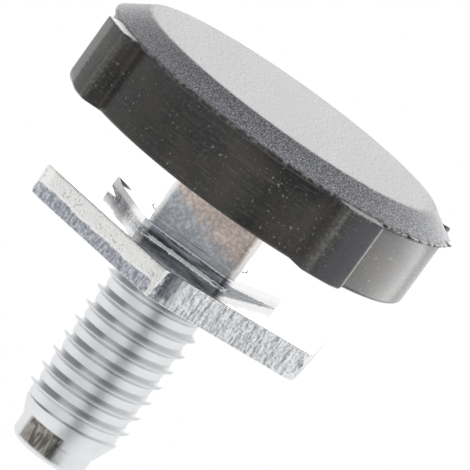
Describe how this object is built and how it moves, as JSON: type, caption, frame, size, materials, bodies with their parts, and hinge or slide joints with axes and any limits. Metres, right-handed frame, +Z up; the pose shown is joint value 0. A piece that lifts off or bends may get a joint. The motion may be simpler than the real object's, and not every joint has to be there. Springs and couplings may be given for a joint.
{
  "type": "washing machine foot",
  "caption": "Adjustable washing machine foot: threaded stud with a square neck, moulded into a round lobed rubber pad, with a hexagon washer and a large hexagon plate nut.",
  "frame": {"origin": "middle of the rubber pad's contact face, on the stud's axis", "axes": "+Z up along the stud from the pad to the tip; a flat of the square neck faces -Y"},
  "size_m": [0.0331, 0.033, 0.0355],
  "materials": {
    "rubber": "moulded black rubber, smooth wall and sandy matte sole",
    "stud_zinc": "bright zinc plate",
    "washer_zinc": "bright zinc plate",
    "nut_zinc": "zinc plate over sheared edges"
  },
  "bodies": {
    "foot": {"rubber_pad": "rubber", "threaded_stud": "stud_zinc"},
    "washer": {"hex_washer": "washer_zinc"},
    "nut": {"plate_nut": "nut_zinc"}
  },
  "joints": [
    {"name": "nut_travel", "type": "slide", "parent": "foot", "child": "washer", "axis": [0, 0, 1], "range_m": [0, 0.0135]},
    {"name": "nut_turn", "type": "hinge", "parent": "washer", "child": "nut", "pos_m": [0, 0, 0.01573], "axis": [0, 0, 1], "range_deg": [0, 3060]}
  ],
  "couplings": [
    {"joint": "nut_travel", "follows": "nut_turn", "m_per_rad": 0.00025266}
  ]
}
